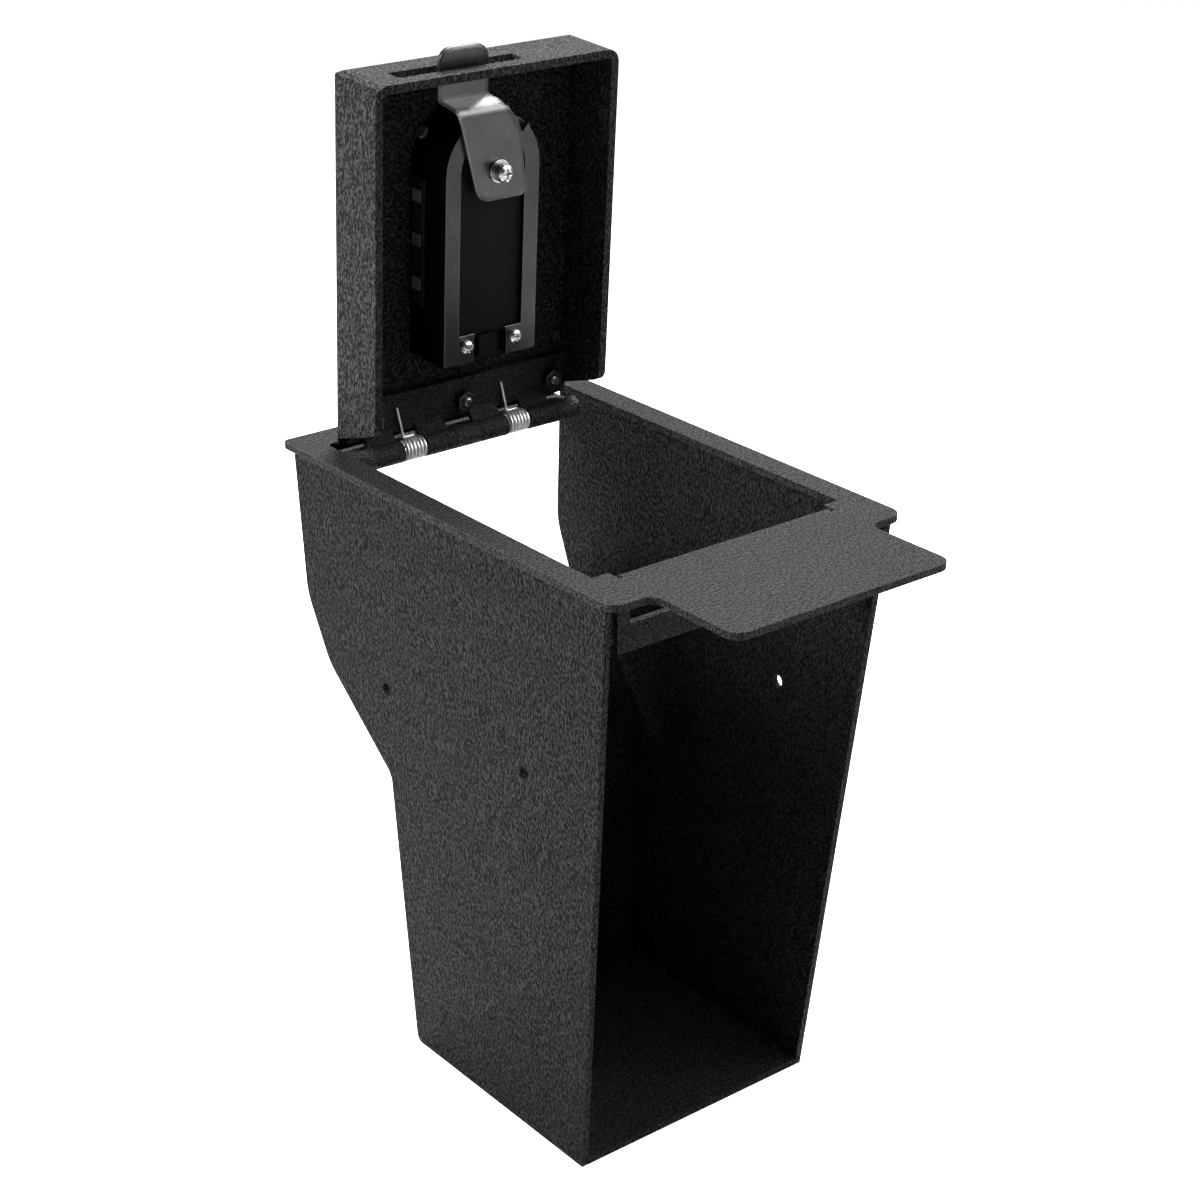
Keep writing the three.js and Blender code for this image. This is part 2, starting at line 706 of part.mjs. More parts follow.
function latchCam() {
  const low = CAM_BACK - CAM_T / 2;
  const profile = ribbon(
    rounded(
      [
        [low, 90],
        [low, 133.8, 2.2],
        [TONGUE_H, 137.6, 2.2],
        [TONGUE_H, CAM_TIP + 5],
      ],
      false,
    ),
    CAM_T,
  );
  const outline = rounded([
    [-21.8, CAM_TIP, 5.5],
    [-21.6, 137.6, 1.5],
    [-18.2, 135.2, 3],
    [-15.9, 129.5],
    [-7.6, 99.6, 6],
    [14.2, 99.6, 2.5],
    [10.8, 125.2, 4],
    [7.7, 130.4, 2],
    [3.4, 136.6, 2],
    [0.4, 138.4, 1.5],
    [0.2, CAM_TIP, 5.5],
  ]);
  const blank = alongY(outline, -30, 30).intersect(alongX(profile, -40, 40));
  return cut(blank, alongY(circle(KNOB_X, KNOB_S, 2.5, 16), -30, 30));
}

piece(lid, 'latch_cam', latchCam(), FINISH.stainless);

const ringAt = (outer, inner, y0, y1) =>
  cut(
    alongY(circle(KNOB_X, KNOB_S, outer, 24), y0, y1),
    alongY(circle(KNOB_X, KNOB_S, inner, 16), y0 - 1, y1 + 1),
  );

const flatTop = CAM_FRONT - GAP;
piece(lid, 'cam_flat_washer', ringAt(4.4, 2.4, flatTop - 0.9, flatTop), FINISH.zinc);
const splitTop = flatTop - 0.9 - GAP;
const split = alongY(
  box2(KNOB_X + 2, KNOB_X + 6, KNOB_S - 0.5, KNOB_S + 0.5),
  splitTop - 5,
  splitTop + 5,
);
const springWasher = cut(ringAt(3.9, 2.4, splitTop - 1.3, splitTop), split);
piece(lid, 'cam_spring_washer', springWasher, FINISH.zinc);

// A pan-head screw with a cross recess, its head towards -Y.
function panScrew(x, s, seat, headR, headH, shankR, length) {
  const stem = turned(
    [
      [0, seat - headH],
      [headR * 0.55, seat - headH],
      [headR * 0.88, seat - headH * 0.72],
      [headR, seat - headH * 0.3],
      [headR, seat],
      [shankR, seat],
      [shankR, seat + length],
      [0, seat + length],
    ],
    x,
    s,
    20,
  );
  const arm = headR * 0.55;
  const width = headR * 0.13;
  const foot = seat - headH * 0.35;
  const cross = [
    alongY(box2(x - arm, x + arm, s - width, s + width), seat - headH - 1, foot),
    alongY(box2(x - width, x + width, s - arm, s + arm), seat - headH - 1, foot),
  ];
  return cut(stem, ...cross);
}

const camSeat = splitTop - 1.3 - GAP;
const camScrewLength = CAM_BACK + 8 - camSeat;
const camScrew = panScrew(KNOB_X, KNOB_S, camSeat, 3.7, 2.6, 2.1, camScrewLength);
piece(lid, 'cam_screw', camScrew, FINISH.zinc);

// Holding frame: a pressed band round the lock's inner face, with a stop tab for the cam

const FRAME_TOP = LOCK_BACK - GAP;
const FOOT_SCREWS = [-11.3, 11.3];
const FOOT_SCREW_S = 43.2;
const STOP_TURN = 42; // degrees from straight up to the stop

function holdingFrame() {
  const band = alongY(tombstone(LOCK_HALF - 0.2, 36.5, 0.6), FRAME_TOP - FRAME_T, FRAME_TOP);
  const inner = LOCK_HALF - 0.2 - FRAME_BAND;
  const window = alongY(tombstone(inner, 47.6, 0.5), FRAME_TOP - 5, FRAME_TOP + 5);
  const between = alongY(
    rounded([
      [-7.8, 30],
      [7.8, 30],
      [7.8, 49, 3.6],
      [-7.8, 49, 3.6],
    ]),
    FRAME_TOP - 5,
    FRAME_TOP + 5,
  );
  const holes = FOOT_SCREWS.map((x) =>
    alongY(circle(x, FOOT_SCREW_S, 1.9, 12), FRAME_TOP - 5, FRAME_TOP + 5),
  );
  // The stop stands on the band's edge, beside the cam's right flank.
  const stop = alongY(
    box2(-0.7, 0.7, LOCK_HALF - 3.5, LOCK_HALF - 0.4),
    FRAME_TOP - FRAME_T - 2.4,
    FRAME_TOP - 0.4,
  )
    .rotate([0, STOP_TURN, 0])
    .translate([0, 0, KNOB_S]);
  return join(cut(band, window, between, ...holes), stop);
}

piece(lid, 'lock_frame', holdingFrame(), FINISH.stainless);

FOOT_SCREWS.forEach((x, i) => {
  const side = i === 0 ? 'left' : 'right';
  const seat = FRAME_TOP - FRAME_T - GAP;
  const screw = panScrew(x, FOOT_SCREW_S, seat, 2.9, 2, 1.5, 1.5);
  piece(lid, `frame_screw_${side}`, screw, FINISH.zinc);
});

// Code lever: slides across in its slot to set a new number

const lever = alongY(
  rounded([
    [-5.2, 38, 0.8],
    [3, 38, 0.8],
    [3, 46, 0.8],
    [-5.2, 46, 0.8],
  ]),
  LOCK_BACK - 1.8,
  LOCK_BACK + 1,
);
piece(lid, 'code_lever', lever, FINISH.plastic);

// Light strip on the lock's left side, with three lamps and the light sensor beside them

const STRIP_X = -LOCK_HALF - GAP;
const STRIP_T = 0.9;
const strip = alongX(box2(-0.8, 6.2, 58, 107), STRIP_X - STRIP_T, STRIP_X);
piece(lid, 'light_strip', strip, FINISH.board);
[66.2, 83.4, 100.6].forEach((s, i) => {
  const face = STRIP_X - STRIP_T - GAP;
  const lamp = alongX(
    rounded([
      [0.2, s - 2.5, 0.5],
      [5.2, s - 2.5, 0.5],
      [5.2, s + 2.5, 0.5],
      [0.2, s + 2.5, 0.5],
    ]),
    face - 0.7,
    face,
  );
  piece(lid, `lamp_${i + 1}`, lamp, FINISH.lamp);
});

const sensor = alongX(circle(6, 0, 2.4, 16), STRIP_X - 1.6, STRIP_X)
  .rotate([0, 33, 0])
  .translate([0, 0, KNOB_S]);
piece(lid, 'light_sensor', sensor, FINISH.lamp);

export default safe;
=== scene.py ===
# %% [markdown]
# A steel console safe stands open on a pale floor. Its solids come from the CAD model, already at
# their real size and place. This lesson dresses them. It gives each metal and plastic its finish,
# and adds the small things that a maker leaves on the surface: weld beads, the coat over the
# seams, round spring wires, the knob's ribs and the dials' numbers. Then it sets up a plain studio,
# seen at the angle of the catalogue picture.

# %% Load the fixed frame
import math

import bpy
import bmesh
from mathutils import Matrix, Vector


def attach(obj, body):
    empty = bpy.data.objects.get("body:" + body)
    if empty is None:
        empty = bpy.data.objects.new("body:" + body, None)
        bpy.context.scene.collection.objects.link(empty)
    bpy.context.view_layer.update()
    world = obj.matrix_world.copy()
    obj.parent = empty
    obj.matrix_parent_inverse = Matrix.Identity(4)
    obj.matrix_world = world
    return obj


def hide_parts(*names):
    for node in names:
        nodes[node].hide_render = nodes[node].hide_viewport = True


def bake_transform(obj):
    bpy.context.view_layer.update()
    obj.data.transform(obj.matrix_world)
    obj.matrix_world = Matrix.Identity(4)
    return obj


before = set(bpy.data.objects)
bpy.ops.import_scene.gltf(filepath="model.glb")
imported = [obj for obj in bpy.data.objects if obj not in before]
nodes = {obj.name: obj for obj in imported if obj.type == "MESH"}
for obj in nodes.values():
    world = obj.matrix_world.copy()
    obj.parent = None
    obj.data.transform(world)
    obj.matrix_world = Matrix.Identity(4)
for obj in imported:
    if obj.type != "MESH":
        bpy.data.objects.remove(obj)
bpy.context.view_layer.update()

# %% [markdown]
# The lid leans forward on its hinge. Everything that sits on the lid is easier to place in the
# lid's own directions: across, out through its plate, and up from the hinge pin. One matrix turns
# such a place, in millimetres, into the scene's directions and metres, so no piece on the lid needs
# its angles worked out.

# %% The lid's own directions
MM = 0.001
HINGE = Vector((0, 94.4, 241.0)) * MM
LID_LEAN = math.radians(3.6)
KNOB_UP = 110.7
KNOB_ACROSS = 1.0

lid_turn = Matrix.Rotation(LID_LEAN, 4, "X")
lid_place = Matrix.Translation(HINGE) @ lid_turn @ Matrix.Scale(MM, 4)
knob_at = lid_place @ Vector((KNOB_ACROSS, 0, KNOB_UP))
print("the knob's axis is at", [round(v, 4) for v in knob_at])

# %% [markdown]
# The picture was taken from the front left and a little above, with a long lens, so that the
# upright edges stay nearly parallel. The camera's place and lens were worked out from the rim's
# corners. Its three axes are built from the viewing angles here, because that keeps the small roll
# under control. A camera that tracks an object would be simpler, but it can't roll.

# %% Camera
CAMERA_AT = Vector((-0.53699, -0.66464, 0.5827))
AZIMUTH = math.radians(-38.534)
ELEVATION = math.radians(24.005)
ROLL = math.radians(0.083)
LENS = 75.345
SENSOR = 36
SHIFT = (-0.00158, 0.00067)

back = Vector(
    (
        math.sin(AZIMUTH) * math.cos(ELEVATION),
        -math.cos(AZIMUTH) * math.cos(ELEVATION),
        math.sin(ELEVATION),
    )
)
level = Vector((math.cos(AZIMUTH), math.sin(AZIMUTH), 0))
upright = back.cross(level)
right = math.cos(ROLL) * level + math.sin(ROLL) * upright
up = -math.sin(ROLL) * level + math.cos(ROLL) * upright
camera_turn = Matrix((right, up, back)).transposed().to_4x4()

camera_data = bpy.data.cameras.new("catalogue_camera")
camera_data.lens = LENS
camera_data.sensor_width = SENSOR
camera_data.shift_x, camera_data.shift_y = SHIFT
camera_data.clip_start = 0.01
camera_data.clip_end = 50
camera = bpy.data.objects.new("catalogue_camera", camera_data)
camera.matrix_world = Matrix.Translation(CAMERA_AT) @ camera_turn
bpy.context.scene.collection.objects.link(camera)
bpy.context.scene.camera = camera
bpy.context.scene.view_settings.view_transform = "Standard"
print("camera", round((CAMERA_AT - Vector((0, 0, 0.2))).length, 3), "m from the safe")

# %% [markdown]
# A material here is a small graph of nodes. Most finishes need the same few parts: a colour that
# varies a little, a roughness that varies with it, and a bump for the surface. They could be drawn
# by hand in the shader editor. In a script, a helper that makes one node, sets its values and joins
# its inputs lets each finish read as a short list of steps.

# %% Helpers for node graphs
class Graph:
    """A tree of shader nodes, and a short way to add to it."""

    def __init__(self, tree):
        self.tree = tree

    def add(self, kind, *inputs, **settings):
        node = self.tree.nodes.new(kind)
        for key, value in settings.items():
            setattr(node, key, value)
        for value, socket in zip(inputs, node.inputs):
            self.join(value, socket)
        return node

    def join(self, value, socket):
        if isinstance(value, bpy.types.NodeSocket):
            self.tree.links.new(value, socket)
        else:
            socket.default_value = value

    def ramp(self, value, low, high, at=(0.35, 0.65)):
        """Straight from low to high while the value goes through the limits in at."""
        node = self.add("ShaderNodeMapRange", value, clamp=True)
        limits = {"From Min": at[0], "From Max": at[1], "To Min": low, "To Max": high}
        for label, limit in limits.items():
            node.inputs[label].default_value = limit
        return node.outputs["Result"]

    def maths(self, operation, a, b):
        return self.add("ShaderNodeMath", a, b, operation=operation).outputs[0]

    def dot(self, a, b):
        return self.add("ShaderNodeVectorMath", a, b, operation="DOT_PRODUCT").outputs["Value"]


def grey(tone):
    return (tone, tone, tone)


print("a graph can", [name for name in vars(Graph) if not name.startswith("_")])


# %% Helpers for finishes
class Finish(Graph):
    """A new material, with the parts that the finishes of the safe are made of."""

    EDGE_LIMITS = (0.72, 0.96)
    MIX_FACTOR, MIX_A, MIX_B, MIXED = 0, 6, 7, 2

    def __init__(self, name):
        self.material = bpy.data.materials.new(name)
        self.material.use_nodes = True
        super().__init__(self.material.node_tree)
        self.shader = self.tree.nodes["Principled BSDF"]
        self.place = self.add("ShaderNodeTexCoord").outputs["Object"]

    def stretched(self, scale):
        node = self.add("ShaderNodeMapping", self.place)
        node.inputs["Scale"].default_value = scale
        return node.outputs["Vector"]

    def noise(self, vector, scale, detail=2.0, roughness=0.5, distortion=0.0):
        node = self.add("ShaderNodeTexNoise", vector)
        node.inputs["Distortion"].default_value = distortion
        node.inputs["Scale"].default_value = scale
        node.inputs["Detail"].default_value = detail
        node.inputs["Roughness"].default_value = roughness
        return node.outputs["Fac"]

    def mix(self, factor, a, b, **settings):
        node = self.add("ShaderNodeMix", data_type="RGBA", **settings)
        for value, socket in ((factor, self.MIX_FACTOR), (a, self.MIX_A), (b, self.MIX_B)):
            self.join(value, node.inputs[socket])
        return node.outputs[self.MIXED]

    def tint(self, value, dark, light):
        return self.mix(value, (*dark, 1), (*light, 1))

    def times(self, a, b):
        return self.mix(1.0, a, b, blend_type="MULTIPLY")

    def rounded(self, radius, samples):
        """The surface's direction as if its edges were rounded off."""
        node = self.add("ShaderNodeBevel", samples=samples)
        node.inputs["Radius"].default_value = radius
        return node.outputs["Normal"]

    def edge(self, radius):
        """1 on sharp edges and 0 on flat faces."""
        flat = self.add("ShaderNodeNewGeometry").outputs["True Normal"]
        return self.ramp(self.dot(self.rounded(radius, 8), flat), 1.0, 0.0, self.EDGE_LIMITS)

    def bump(self, height, distance, strength, edge):
        node = self.add("ShaderNodeBump")
        node.inputs["Strength"].default_value = strength
        node.inputs["Distance"].default_value = distance
        self.join(height, node.inputs["Height"])
        if edge:
            self.join(self.rounded(edge, 4), node.inputs["Normal"])
        return node.outputs["Normal"]

    def finish(self, **sockets):
        for key, value in sockets.items():
            self.join(value, self.shader.inputs[key.replace("_", " ")])
        return self.material


print("a finish can also", [name for name in vars(Finish) if name.islower() and name[0] != "_"])

# %% [markdown]
# The whole body wears a black powder coat. Powder that is baked on thick draws into a fine leather
# grain: knobs about a millimetre wide with pits between them, drawn out a little downwards on the
# tall panels. A scanned image could carry that grain, but it would show its repeats. One noise
# gives the grain its height instead. The slopes of that height catch the lamps, and the pits are
# painted darker still, as painted shade, because no lamp reaches into them. On sharp edges the
# coat is thin and the pits are closed. Those edges are also painted lighter, partly as wear and
# partly as a painted highlight; on the hinge leaves they are painted darker, as painted shade in
# the gaps between the knuckles. The Bevel node finds those edges.

# %% Black powder coat
GRAIN_LIMITS = (0.43, 0.58)
CLOUD_SIZE = 34
SHARP_EDGE_WIDTH = 0.0006
COAT_EDGE = 0.0005
TALL = (1, 1, 0.6)
LONG = (1, 0.6, 1)
EVEN = (1, 1, 1)


def powder_coat(name, drawn, knob, pit_shade, depth, size=1120, edge_wear_and_light=1.6, shine=0.15):
    coat = Finish(name)
    grain = coat.noise(coat.stretched(drawn), size, detail=1.5, roughness=0.5, distortion=0.3)
    cloud = coat.noise(coat.place, CLOUD_SIZE)
    height = coat.ramp(grain, 0.0, 1.0, GRAIN_LIMITS)
    # Sharp edges are tinted: lighter, partly as wear and partly as a painted highlight, and on the
    # hinge leaves darker, as painted shade in the gaps between the knuckles.
    sharp_edges = coat.edge(SHARP_EDGE_WIDTH)
    tone = coat.maths("MULTIPLY", height, coat.ramp(cloud, 0.85, 1.0))
    tone = coat.maths("MAXIMUM", tone, sharp_edges)
    edge_wear_and_light_tint = coat.tint(sharp_edges, grey(1.0), grey(edge_wear_and_light))
    # The pits take the darkest colour, as painted shade where no lamp reaches.
    return coat.finish(
        Base_Color=coat.times(coat.tint(tone, grey(pit_shade), grey(knob)), edge_wear_and_light_tint),
        Roughness=coat.ramp(grain, 0.75, 0.5),
        Metallic=0.0,
        Specular_IOR_Level=shine,
        Normal=coat.bump(grain, depth, 1.0, COAT_EDGE),
    )


# The five coats are one real coat in lit and shaded copies: the lid's and the fixed leaf's colours
# are painted lighter, the panels' and the lid leaf's darker, and the rim's between. The rim's edge
# factor paints a highlight on its edges, and the leaves' factor paints shade on theirs.
panel_coat = powder_coat("black_powder_coat_on_panels", TALL, 0.027, 0.0004, 0.0045)
rim_coat = powder_coat(
    "black_powder_coat_on_rim", LONG, 0.051, 0.008, 0.002, size=1500, edge_wear_and_light=2.4
)
lid_coat = powder_coat("black_powder_coat_on_lid", TALL, 0.076, 0.01, 0.0045)
LEAF_LOOK = {"depth": 0.001, "edge_wear_and_light": 0.3, "shine": 0.25}
fixed_leaf_coat = powder_coat("black_powder_coat_on_fixed_leaf", EVEN, 0.07, 0.005, **LEAF_LOOK)
lid_leaf_coat = powder_coat("black_powder_coat_on_lid_leaf", EVEN, 0.03, 0.002, **LEAF_LOOK)
coats = (panel_coat, rim_coat, lid_coat, fixed_leaf_coat, lid_leaf_coat)
print("coats:", [coat.name for coat in coats])

# %% [markdown]
# The cam and the holding frame are stamped from stainless sheet and left with the mill's brushing.
# The shader's anisotropy could stretch the highlight, but a noise that is stretched very long one
# way also shows the single strokes. It runs along the lid's height here. The cam and the frame are
# one steel, in a lit and a shaded copy: the cam's colour is painted lighter and the frame's darker.
# The outlines of both are painted lighter still, as a painted highlight. The bolts, washers and
# springs are plated zinc, which is brighter and has no strokes. The hex nuts are given a dark
# colour, and their edges are painted much lighter, as a painted highlight.

# %% Brushed stainless, bright zinc and dark nut steel
STAIN_SIZE = 90
STAINED = 0.78
EDGE_HIGHLIGHT_WIDTH = 0.0005
MILL_STROKES = {"along": (1, 1, 0.04), "scale": 2600, "depth": 0.000006}


def brushed(name, colour, rough, along, scale, depth, edge=0.0003, rim=1.0):
    metal = Finish(name)
    stroke = metal.noise(metal.stretched(along), scale, detail=4, roughness=0.7)
    stain = metal.noise(metal.place, STAIN_SIZE, detail=3)
    dark = tuple(STAINED * c for c in colour)
    body = metal.tint(metal.ramp(stain, 0.2, 1.0), dark, colour)
    # A rim above 1 paints the sharp outlines lighter, as a painted highlight.
    if rim > 1:
        body = metal.times(body, metal.tint(metal.edge(EDGE_HIGHLIGHT_WIDTH), grey(1.0), grey(rim)))
    return metal.finish(
        Base_Color=body,
        Metallic=1.0,
        Roughness=metal.ramp(stroke, *rough),
        Normal=metal.bump(stroke, depth, 0.5, edge),
    )


# The cam and the frame are one steel: the cam's colour is painted lighter and the frame's darker,
# as painted light and shade.
cam_steel = brushed(
    "brushed_cam_steel", (0.13, 0.13, 0.129), (0.26, 0.36), **MILL_STROKES, edge=0.003, rim=4.0
)
frame_steel = brushed(
    "brushed_frame_steel", (0.082, 0.082, 0.081), (0.26, 0.36), **MILL_STROKES, rim=3.0
)
zinc = brushed("bright_zinc", (0.78, 0.79, 0.80), (0.14, 0.26), EVEN, 1400, 0.00001, edge=0.0002)
spring_wire = brushed(
    "bright_spring_wire", (0.92, 0.92, 0.93), (0.42, 0.5), EVEN, 900, 0.000002, edge=0.0
)
# The nuts take a dark colour, and a rim of 9 paints their edges much lighter, as a painted
# highlight.
nut_black = brushed(
    "dark_nut_steel", (0.07, 0.07, 0.072), (0.3, 0.4), EVEN, 1400, 0.00001, rim=9.0
)
print("metals:", [metal.name for metal in (cam_steel, frame_steel, zinc, spring_wire, nut_black)])

# %% [markdown]
# The lock is moulded from black plastic, with the fine matt grain that hides finger marks. Its
# dials are smoother, so that their numbers stay easy to read. A plain colour would do from afar.
# Near to, a faint cloud in the colour and a fine grain in the bump keep it from looking cut out.

# %% Plastics
PLASTIC_GRAIN = 1900
PLASTIC_CLOUD = 60
SHADED = 0.7
PLASTIC_EDGE = 0.0004


def moulded(name, colour, rough, depth):
    plastic = Finish(name)
    grain = plastic.noise(plastic.place, PLASTIC_GRAIN)
    cloud = plastic.noise(plastic.place, PLASTIC_CLOUD)
    dark = tuple(SHADED * c for c in colour)
    return plastic.finish(
        Base_Color=plastic.tint(plastic.ramp(cloud, 0, 1), dark, colour),
        Roughness=plastic.ramp(grain, *rough),
        Specular_IOR_Level=0.1,
        Normal=plastic.bump(grain, depth, 0.6, PLASTIC_EDGE),
    )


lock_plastic = moulded("black_lock_plastic", (0.004, 0.004, 0.0045), (0.46, 0.6), 0.00004)
dial_plastic = moulded("smooth_dial_plastic", (0.018, 0.018, 0.019), (0.22, 0.3), 0.00001)
figure_paint = moulded("white_figure_paint", (0.78, 0.78, 0.76), (0.4, 0.5), 0.00001)
strip_lacquer = moulded("smoked_strip_lacquer", (0.03, 0.03, 0.029), (0.3, 0.42), 0.00002)
lamp_lens = moulded("smoked_lamp_lens", (0.17, 0.17, 0.165), (0.16, 0.24), 0.00001)
print("plastics:", [p.name for p in (lock_plastic, dial_plastic, strip_lacquer, lamp_lens)])

# %% [markdown]
# Each solid from the CAD model is one real piece, so it wears one finish. A table that goes from
# finish to pieces is short to read and hard to get wrong. What it doesn't name is small hardware or
# an axle, and all of that is zinc plated.

# %% Give every solid its finish
DRESS = {
    rim_coat: ["rim_plate"],
    panel_coat: ["left_side_panel", "right_side_panel", "wrapper_sheet"],
    lid_coat: ["lid_pan"],
    fixed_leaf_coat: ["hinge_fixed_leaf"],
    lid_leaf_coat: ["hinge_lid_leaf"],
    cam_steel: ["latch_cam"],
    frame_steel: ["lock_frame"],
    spring_wire: ["hinge_spring_left", "hinge_spring_right"],
    nut_black: ["hinge_nut_1", "hinge_nut_2", "hinge_nut_3"],
    lock_plastic: ["lock_housing", "turn_knob", "code_lever"],
    dial_plastic: ["number_dial_1", "number_dial_2", "number_dial_3", "number_dial_4"],
    strip_lacquer: ["light_strip"],
    lamp_lens: ["lamp_1", "lamp_2", "lamp_3", "light_sensor"],
}
finish_of = {name: material for material, names in DRESS.items() for name in names}
for name, solid in nodes.items():
    solid.data.materials.clear()
    solid.data.materials.append(finish_of.get(name, zinc))
print("zinc:", sorted(set(nodes) - set(finish_of)))

# %% [markdown]
# Some pieces start as a curve, a text or a tree of nodes, and all of them end as a plain closed
# mesh. All but the springs' curls then ride on one of the CAD bodies. Short helpers do that for
# every piece below. The caps of a wire or a letter come as faces of their own, so the corners that
# meet are merged.

# %% Helpers for new pieces
SAME_CORNER = 1e-7


def as_mesh(source):
    """Takes the finished mesh of a new object, and removes the object."""
    bpy.context.scene.collection.objects.link(source)
    graph = bpy.context.evaluated_depsgraph_get()
    mesh = bpy.data.meshes.new_from_object(source.evaluated_get(graph), depsgraph=graph)
    bpy.data.objects.remove(source)
    return mesh


def closed(mesh):
    """Merges the corners that meet, so that no seam stays open."""
    build = bmesh.new()
    build.from_mesh(mesh)
    bmesh.ops.remove_doubles(build, verts=build.verts, dist=SAME_CORNER)
    build.to_mesh(mesh)
    build.free()
    return mesh


def new_piece(name, mesh, finish, smooth=False):
    """Puts a mesh in the scene, in its finish."""
    mesh.materials.clear()
    mesh.materials.append(finish)
    if smooth:
        for face in mesh.polygons:
            face.use_smooth = True
    piece = bpy.data.objects.new(name, mesh)
    bpy.context.scene.collection.objects.link(piece)
    print(name, len(mesh.polygons), "faces")
    return piece


print("helpers for new pieces:", [made.__name__ for made in (as_mesh, closed, new_piece)])

# %% [markdown]
# Weld pools and knob ribs are small things that repeat along a line. Placed by hand, they would
# drift in size and distance. Geometry Nodes set a bead on every step along a curve instead. The
# tree's inputs are the bead's length, its width, its height, the distance from one to the next, and
# its finish. A fixed seed makes each bead a little larger or smaller than the next.

# %% A tree that lays beads along a line
BEAD_SEGMENTS, BEAD_RINGS = 10, 6
SMALLEST, LARGEST = 0.82, 1.15
SEED = 7


def bead_tree():
    tree = bpy.data.node_groups.new("beads_along_a_line", "GeometryNodeTree")
    face = tree.interface
    face.new_socket("Geometry", in_out="INPUT", socket_type="NodeSocketGeometry")
    for label in ("Length", "Width", "Height", "Pitch"):
        face.new_socket(label, in_out="INPUT", socket_type="NodeSocketFloat")
    face.new_socket("Finish", in_out="INPUT", socket_type="NodeSocketMaterial")
    face.new_socket("Geometry", in_out="OUTPUT", socket_type="NodeSocketGeometry")
    new, link = tree.nodes.new, tree.links.new
    entry, leave = new("NodeGroupInput"), new("NodeGroupOutput")
    resample = new("GeometryNodeResampleCurve")
    resample.mode = "LENGTH"
    link(entry.outputs["Geometry"], resample.inputs["Curve"])
    link(entry.outputs["Pitch"], resample.inputs["Length"])
    ball = new("GeometryNodeMeshUVSphere")
    ball.inputs["Segments"].default_value = BEAD_SEGMENTS
    ball.inputs["Rings"].default_value = BEAD_RINGS
    ball.inputs["Radius"].default_value = 0.5
    size = new("ShaderNodeCombineXYZ")
    for k, label in enumerate(("Width", "Height", "Length")):
        link(entry.outputs[label], size.inputs[k])
    tangent = new("GeometryNodeInputTangent")
    turn = new("FunctionNodeAlignRotationToVector")
    turn.axis = "Z"
    link(tangent.outputs[0], turn.inputs["Vector"])
    wobble = new("FunctionNodeRandomValue")
    wobble.data_type = "FLOAT"
    wobble.inputs[2].default_value = SMALLEST
    wobble.inputs[3].default_value = LARGEST
    wobble.inputs["Seed"].default_value = SEED
    grow = new("ShaderNodeVectorMath")
    grow.operation = "SCALE"
    link(size.outputs[0], grow.inputs[0])
    link(wobble.outputs[1], grow.inputs["Scale"])
    put = new("GeometryNodeInstanceOnPoints")
    link(resample.outputs["Curve"], put.inputs["Points"])
    link(ball.outputs["Mesh"], put.inputs["Instance"])
    link(turn.outputs["Rotation"], put.inputs["Rotation"])
    link(grow.outputs[0], put.inputs["Scale"])
    solid = new("GeometryNodeRealizeInstances")
    link(put.outputs["Instances"], solid.inputs[0])
    paint = new("GeometryNodeSetMaterial")
    link(solid.outputs[0], paint.inputs["Geometry"])
    link(entry.outputs["Finish"], paint.inputs["Material"])
    link(paint.outputs["Geometry"], leave.inputs["Geometry"])
    return tree


beads = bead_tree()
print(beads.name, len(beads.nodes), "nodes")


# %% Lay a row of beads
def bead_path(name, *stretches):
    """A curve object of straight stretches, each a list of points in metres."""
    data = bpy.data.curves.new(name, "CURVE")
    data.dimensions = "3D"
    for points in stretches:
        spline = data.splines.new("POLY")
        spline.points.add(len(points) - 1)
        for point, place in zip(spline.points, points):
            point.co = (*place, 1)
    return bpy.data.objects.new(name, data)


def lay_beads(name, path, length, width, height, pitch, finish, body):
    """Runs the tree on a path, with its sizes in millimetres."""
    modifier = path.modifiers.new("made", "NODES")
    modifier.node_group = beads
    sockets = {i.name: i.identifier for i in beads.interface.items_tree if i.in_out == "INPUT"}
    sizes = {"Length": length, "Width": width, "Height": height, "Pitch": pitch}
    for label, size in sizes.items():
        modifier[sockets[label]] = size * MM
    modifier[sockets["Finish"]] = finish
    piece = new_piece(name, as_mesh(path), finish, smooth=True)
    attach(piece, body)


print("a bead tree takes", [i.name for i in beads.interface.items_tree if i.in_out == "INPUT"])

# %% [markdown]
# The panels are stitched to the rim and to the wrapper by short welds. Each weld is a row of small
# overlapping pools of metal, and the coat lies over it. Sculpting them would be slow and heavy. A
# bead for each pool along the seam's line looks the same, because the beads overlap as pools do.

# %% Weld stitches
PANEL_OUTER = 65.8
PANEL_THICK = 2.8
PANEL_TOP = 243
PANEL_LEAN = math.radians(2.35)
RIM_WELDS = (-62, -20, 22, 64)
RIM_WELD_LENGTH = 16
WALL_WELDS = ((12, 26), (52, 66), (94, 108))
WALL_FOOT, WALL_RUN, WALL_RISE = 57.2, 4.9, 120
FLOOR_WELDS = ((-40, -26), (-6, 8), (30, 44))
FLOOR_TOP = 2.9


def panel_inside(side, z, into):
    lean = math.tan(PANEL_LEAN) * (PANEL_TOP - z)
    return side * (PANEL_OUTER - PANEL_THICK - into - lean)


